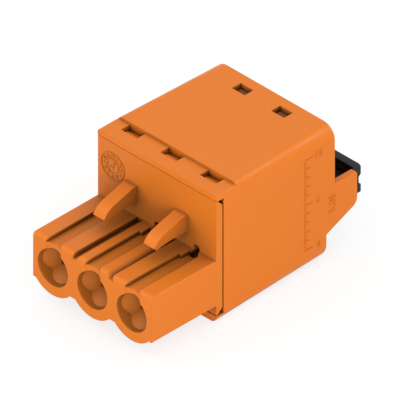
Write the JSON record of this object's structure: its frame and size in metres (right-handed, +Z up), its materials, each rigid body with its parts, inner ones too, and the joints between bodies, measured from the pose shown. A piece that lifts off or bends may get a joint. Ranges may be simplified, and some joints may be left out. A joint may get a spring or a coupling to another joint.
{
  "type": "pcb plug connector",
  "caption": "Orange plug connector for circuit boards: round wire entries with screwdriver grooves, finger tabs, a snap-together shell and a black mating nose.",
  "frame": {"origin": "on the resting surface, under the middle of the bounding box", "axes": "+Y runs from the wire entries to the mating nose, +X runs across the poles, +Z is up"},
  "size_m": [0.0154, 0.0276, 0.0143],
  "materials": {
    "orange_plastic": "satin moulded",
    "black_plastic": "satin moulded",
    "spring_steel": "rolled strip",
    "tinned_copper": "matt tin plating"
  },
  "bodies": {
    "root": {"outer_shell": "orange_plastic", "wire_entry_block": "orange_plastic", "contact_carrier": "black_plastic", "clamp_spring_1": "spring_steel", "clamp_spring_2": "spring_steel", "clamp_spring_3": "spring_steel", "current_bar_1": "tinned_copper", "current_bar_2": "tinned_copper", "current_bar_3": "tinned_copper", "contact_clip_1": "spring_steel", "contact_clip_2": "spring_steel", "contact_clip_3": "spring_steel"}
  },
  "joints": []
}
